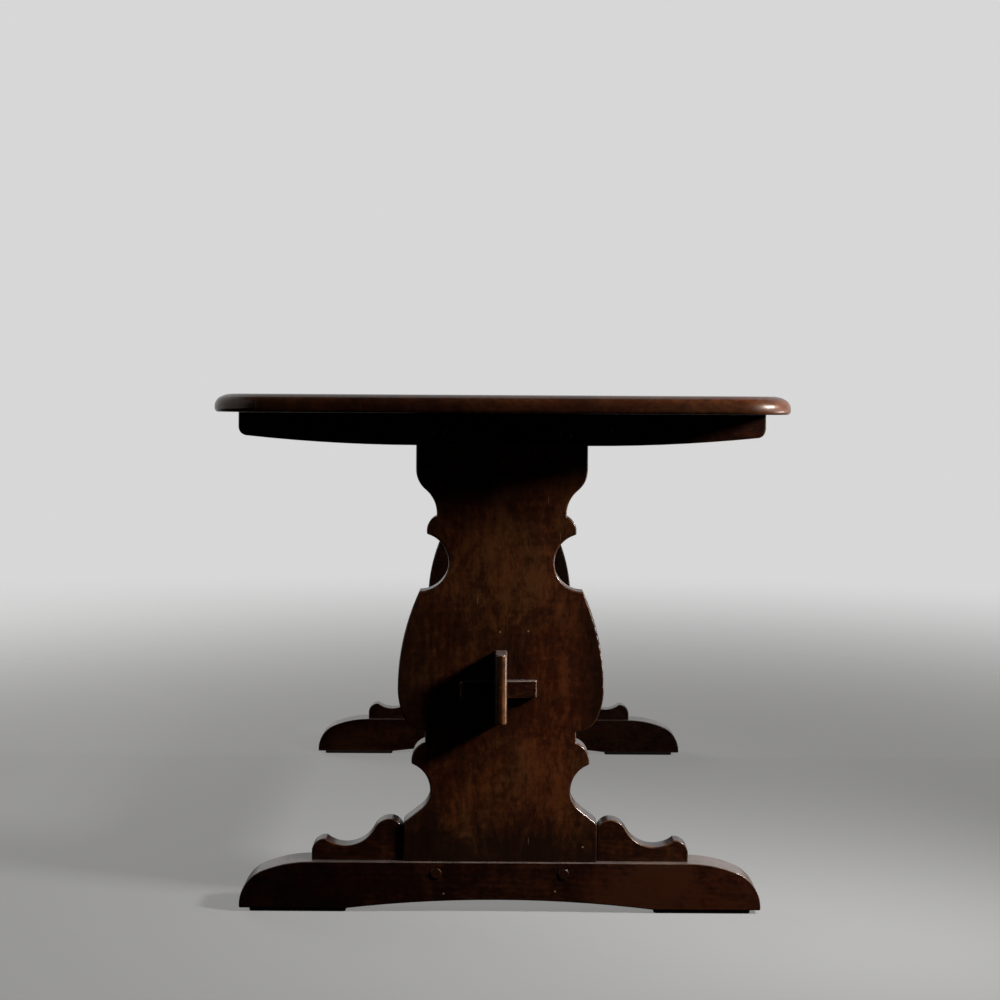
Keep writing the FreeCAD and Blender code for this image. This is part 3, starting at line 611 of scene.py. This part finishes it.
# %% Panels
PANEL_TONES = ((0.0052, 0.0013, 0.0006, 1.0), (0.0195, 0.0055, 0.0018, 1.0), (0.0500, 0.0171, 0.0052, 1.0))
PANEL_HEARTS = {"near": (0.035, -0.47, 6.82), "far": (-0.05, 0.60, 0.3)}
PANEL_FOOT_SHADE = (0.085, 0.150)  # painted shade low down fades out between these heights
PANEL_SIDES = (0.080, 0.135)  # it gets darker between these distances from the middle
PANEL_LOOKS = {"ring_spacing": 0.010, "blotch": 1.7, "foot_shade": PANEL_FOOT_SHADE, "sides": PANEL_SIDES}

for end, heart in PANEL_HEARTS.items():
    give(f"{end}_panel", stained_wood(f"{end}_panel_wood", "Z", "Y", heart, PANEL_TONES, **PANEL_LOOKS))
print("panels finished")

# %% [markdown]
# ## Top
# The top is glued up from boards, edge to edge. One texture over all of them would hide the joints, so
# each board has a trunk of its own, with the heart above and below it by turns, as boards are often laid.
# The coat is rougher than on other pieces, and the edges are less lightened by wear and painted highlight.

# %% Top boards
TOP_TONES = ((0.0130, 0.0033, 0.0014, 1.0), (0.0460, 0.0130, 0.0042, 1.0), (0.1000, 0.0340, 0.0110, 1.0))
TOP_BOARD_HEARTS = (  # each heart's x, and how far it lies above the middle of its board's thickness
    (-0.33, -0.045), (-0.16, 0.050), (-0.09, -0.062), (0.07, 0.056), (0.21, -0.05), (0.29, 0.048)
)
TOP_STRETCH = 0.37  # how much further along the trunk each next board was sawn
TOP_LOOKS = {"ring_spacing": 0.009, "wear_and_highlight": 0.12, "gloss": 0.30, "sheen": 0.30}

for number, (heart_x, heart_rise) in enumerate(TOP_BOARD_HEARTS, start=1):
    low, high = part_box(f"top_board_{number}")
    heart = (heart_x, TOP_STRETCH * number, (low.z + high.z) / 2 + heart_rise)
    wood = stained_wood(f"top_board_{number}_wood", "Y", "Z", heart, TOP_TONES, **TOP_LOOKS)
    give(f"top_board_{number}", wood)
print(len(TOP_BOARD_HEARTS), "boards finished")

# %% [markdown]
# ## Feet, bearers and stretcher
# Feet and bearers lie across the ends, and the stretcher runs between the trestles. The hearts lie below
# the feet and above the bearers, so the rings bend differently. Dust, partly a painted highlight, lies on the
# feet and on the stretcher's upper edge: a mask by the normal finds what faces upwards, and no dust has to be
# modelled. The stretcher's edges are lightened strongly, by wear and by painted highlight.

# %% Feet, bearers and stretcher
RAIL_TONES = ((0.0016, 0.0004, 0.0002, 1.0), (0.0062, 0.0014, 0.0006, 1.0), (0.0205, 0.0058, 0.0020, 1.0))
FOOT_HEART = (7.02, 0.05, -0.03)  # along the grain, outwards from its middle, up from its underside
BEARER_HEART = (-0.1, -0.06, 0.04)  # the same, but up from its upper face
STRETCHER_HEART = (0.06, 0.1, -0.02)  # sideways, along the grain, up from its underside
# the dust on the feet and stretcher, and the stretcher's lighter edges, are partly painted highlight
FOOT_LOOKS = {"wear_and_highlight": 0.3, "blotch": 2.2, "dust_and_highlight": 0.4}
STRETCHER_LOOKS = {"wear_and_highlight": 0.9, "gloss": 0.26, "dust_and_highlight": 0.6}

for end, outwards in (("near", -1), ("far", 1)):
    low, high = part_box(f"{end}_foot")
    along, out, up = FOOT_HEART
    heart = (along * outwards, (low.y + high.y) / 2 + out * outwards, low.z + up)
    give(f"{end}_foot", stained_wood(f"{end}_foot_wood", "X", "Y", heart, RAIL_TONES, **FOOT_LOOKS))
    low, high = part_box(f"{end}_bearer")
    along, out, up = BEARER_HEART
    heart = (along * outwards, (low.y + high.y) / 2 + out * outwards, high.z + up)
    give(f"{end}_bearer", stained_wood(f"{end}_bearer_wood", "X", "Y", heart, RAIL_TONES))
low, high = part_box("stretcher")
heart = (STRETCHER_HEART[0], STRETCHER_HEART[1], low.z + STRETCHER_HEART[2])
give("stretcher", stained_wood("stretcher_wood", "Y", "X", heart, PANEL_TONES, **STRETCHER_LOOKS))
print("rails finished")

# %% [markdown]
# ## Brackets
# Four scrolled brackets stand in the corners between panels and feet. Their curled edges stick out and
# get rubbed, so the wear, and the painted highlight with it, is stronger here. The same recipe serves,
# with closer rings, because the pieces are small.

# %% Brackets
BRACKET_TONES = ((0.0026, 0.0007, 0.0004, 1.0), (0.0092, 0.0029, 0.0012, 1.0), (0.0270, 0.0095, 0.0034, 1.0))
BRACKET_HEART_BACK, BRACKET_HEART_UP = 0.035, -0.05  # behind its middle, and up from its underside
BRACKET_LOOKS = {"ring_spacing": 0.007, "wear_and_highlight": 0.7}

for end in ("near", "far"):
    for side in ("left", "right"):
        piece = f"{end}_{side}_bracket"
        low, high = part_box(piece)
        heart = (low.x, (low.y + high.y) / 2 + BRACKET_HEART_BACK, low.z + BRACKET_HEART_UP)
        give(piece, stained_wood(f"{piece}_wood", "X", "Y", heart, BRACKET_TONES, **BRACKET_LOOKS))
print("brackets finished")

# %% [markdown]
# ## Wedges and pegs
# A wedge is driven through each tenon and can be knocked out again, so its edges are well rubbed, and a
# painted highlight lightens them further. Dust lies on it, partly painted highlight too. The pegs show
# only their ends. End grain needs no drawing of its own: the rings run through the whole piece, and cutting
# across them shows them.

# %% Wedges and pegs
# the wedge's dust and rubbed edges are partly painted highlight
WEDGE_LOOKS = {"ring_spacing": 0.006, "wear_and_highlight": 0.8, "gloss": 0.26, "dust_and_highlight": 0.7}
WEDGE_HEART_OFF = 0.03  # behind the wedge and below it
PEG_LOOKS = {"ring_spacing": 0.003, "wear_and_highlight": 0.0}
PEG_HEART_ASIDE, PEG_HEART_UP = 0.06, 0.012  # from the middle of the pair, and from the pegs' upper side

for end in ("near", "far"):
    low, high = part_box(f"{end}_wedge")
    heart = (low.x, high.y + WEDGE_HEART_OFF, low.z - WEDGE_HEART_OFF)
    give(f"{end}_wedge", stained_wood(f"{end}_wedge_wood", "X", "Z", heart, BRACKET_TONES, **WEDGE_LOOKS))
    for rail in ("foot", "bearer"):
        low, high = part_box(f"{end}_{rail}_pegs")
        heart = ((low.x + high.x) / 2 + PEG_HEART_ASIDE, low.y, high.z + PEG_HEART_UP)
        wood = stained_wood(f"{end}_{rail}_peg_wood", "Y", "Y", heart, RAIL_TONES, **PEG_LOOKS)
        give(f"{end}_{rail}_pegs", wood)
print("wedges and pegs finished")

# %% [markdown]
# ## Bare wood and steel
# Tongues and dowels are hidden in the joints and were never stained, so they keep the colour of plain
# beech. The screws up into the top are plain steel, slightly brushed by turning.

# %% Bare wood
BARE_TONES = ((0.300, 0.165, 0.085, 1.0), (0.420, 0.255, 0.140, 1.0), (0.520, 0.335, 0.195, 1.0))
TONGUE_HEART = (0.03, 0.0, 0.62)
DOWEL_HEART = (0.02, 0.0, 0.0)


def bare_wood(name, grain, heart):
    """Unfinished pale wood: fibres, rings and no gloss."""
    finish, tree, shader = new_finish(name)
    trunk = along_grain(tree, grain, heart)
    rings = growth_rings(tree, trunk, 0.003, 0.006)
    fibres = streaks(tree, trunk, 700.0, 22.0, 3.0, 0.6)
    tone = work_out(tree, "MULTIPLY_ADD", rings, -0.35, fibres)
    ramp = put(tree, "ValToRGB", {"Fac": work_out(tree, "ADD", tone, 0.2)})
    ramp.color_ramp.elements[0].color = BARE_TONES[0]
    ramp.color_ramp.elements[1].color = BARE_TONES[2]
    ramp.color_ramp.elements.new(0.5).color = BARE_TONES[1]
    tree.links.new(ramp.outputs["Color"], shader.inputs["Base Color"])
    tree.links.new(step_between(tree, fibres, 0.3, 0.7, 0.62, 0.8), shader.inputs["Roughness"])
    bump = put(tree, "Bump", {"Strength": 0.3, "Distance": 0.0004, "Height": fibres})
    tree.links.new(bump.outputs[0], shader.inputs["Normal"])
    return finish


give("top_tongues", bare_wood("tongue_wood", "Y", TONGUE_HEART))
for end in ("near", "far"):
    give(f"{end}_bracket_dowels", bare_wood(f"{end}_dowel_wood", "Z", DOWEL_HEART))
print("bare wood finished")

# %% Steel
STEEL_DARK = (0.300, 0.300, 0.310, 1.0)
STEEL_LIGHT = (0.520, 0.520, 0.530, 1.0)


def screw_steel():
    """Dull zinc-grey steel with fine turning marks."""
    finish, tree, shader = new_finish("screw_steel_finish")
    place = put(tree, "TexCoord").outputs["Object"]
    clouds = streaks(tree, place, 260.0, 260.0, 3.0, 0.6)
    turning = streaks(tree, place, 300.0, 5200.0, 1.0, 0.5)
    tree.links.new(mixed(tree, clouds, STEEL_DARK, STEEL_LIGHT), shader.inputs["Base Color"])
    shader.inputs["Metallic"].default_value = 1.0
    tree.links.new(step_between(tree, clouds, 0.3, 0.7, 0.30, 0.48), shader.inputs["Roughness"])
    bump = put(tree, "Bump", {"Strength": 0.2, "Distance": 0.0001, "Height": turning})
    tree.links.new(bump.outputs[0], shader.inputs["Normal"])
    return finish


steel = screw_steel()
for end in ("near", "far"):
    give(f"{end}_top_screws", steel)
print("screws finished")

# %% [markdown]
# ## Felt pads
# Under both ends of each foot lies a strip of dark felt. Felt is cut, not machined, so its corners and
# rims are soft, which a plain block doesn't show. Each strip is modelled from a box in the place of the
# drawn pad, a hair narrower all round: the upright edges are bevelled wide, then the rims narrow.

# %% Felt
FELT_DARK = (0.0060, 0.0052, 0.0050, 1.0)
FELT_LIGHT = (0.0220, 0.0195, 0.0180, 1.0)


def felt():
    """Pressed wool felt: matted fibres in all directions, rough, with a soft sheen."""
    finish, tree, shader = new_finish("pad_felt_finish")
    place = put(tree, "TexCoord").outputs["Object"]
    matted = streaks(tree, place, 900.0, 900.0, 5.0, 0.7)
    clumps = streaks(tree, place, 120.0, 120.0, 3.0, 0.6)
    shade = work_out(tree, "MULTIPLY_ADD", clumps, 0.6, work_out(tree, "MULTIPLY", matted, 0.5))
    tree.links.new(mixed(tree, shade, FELT_DARK, FELT_LIGHT), shader.inputs["Base Color"])
    tree.links.new(step_between(tree, clumps, 0.3, 0.7, 0.88, 1.0), shader.inputs["Roughness"])
    shader.inputs["Specular IOR Level"].default_value = 0.05
    shader.inputs["Sheen Weight"].default_value = 0.04
    shader.inputs["Sheen Roughness"].default_value = 0.6
    bump = put(tree, "Bump", {"Strength": 0.8, "Distance": 0.0008, "Height": shade})
    tree.links.new(bump.outputs[0], shader.inputs["Normal"])
    return finish


felt_finish = felt()
print("felt ready")

# %% Pads
PAD_INSET = 0.0006
PAD_CORNER, PAD_CORNER_STEPS = 0.004, 6
PAD_RIM, PAD_RIM_STEPS = 0.0012, 3


def ease(shape, edges, offset, steps):
    """Rounds the given edges of a shape."""
    settings = {"offset_type": "OFFSET", "affect": "EDGES", "profile": 0.5, "material": -1}
    bmesh.ops.bevel(shape, geom=edges, offset=offset, segments=steps, **settings)


def felt_pad(node_name):
    """A felt strip in the place of a drawn pad."""
    low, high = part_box(node_name)
    size = high - low - 2 * Vector((PAD_INSET, PAD_INSET, 0.0))
    box = Matrix.Translation((low + high) / 2) @ Matrix.Diagonal((*size, 1.0))
    shape = bmesh.new()
    bmesh.ops.create_cube(shape, size=1.0, matrix=box)
    upright = [edge for edge in shape.edges if abs(edge.verts[0].co.z - edge.verts[1].co.z) > size.z / 2]
    ease(shape, upright, PAD_CORNER, PAD_CORNER_STEPS)
    rims = [edge for edge in shape.edges if abs(edge.verts[0].co.z - edge.verts[1].co.z) < 1e-6]
    ease(shape, rims, PAD_RIM, PAD_RIM_STEPS)
    bmesh.ops.recalc_face_normals(shape, faces=shape.faces[:])
    mesh = bpy.data.meshes.new(f"{node_name}_felt")
    shape.to_mesh(mesh)
    shape.free()
    for face in mesh.polygons:
        face.use_smooth = True
    pad = bpy.data.objects.new(f"{node_name}_felt", mesh)
    scene.collection.objects.link(pad)
    mesh.materials.append(felt_finish)
    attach(pad, "table")
    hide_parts(node_name)
    return pad


for end in ("near", "far"):
    for side in ("left", "right"):
        felt_pad(f"{end}_{side}_pad")
print("four felt pads")
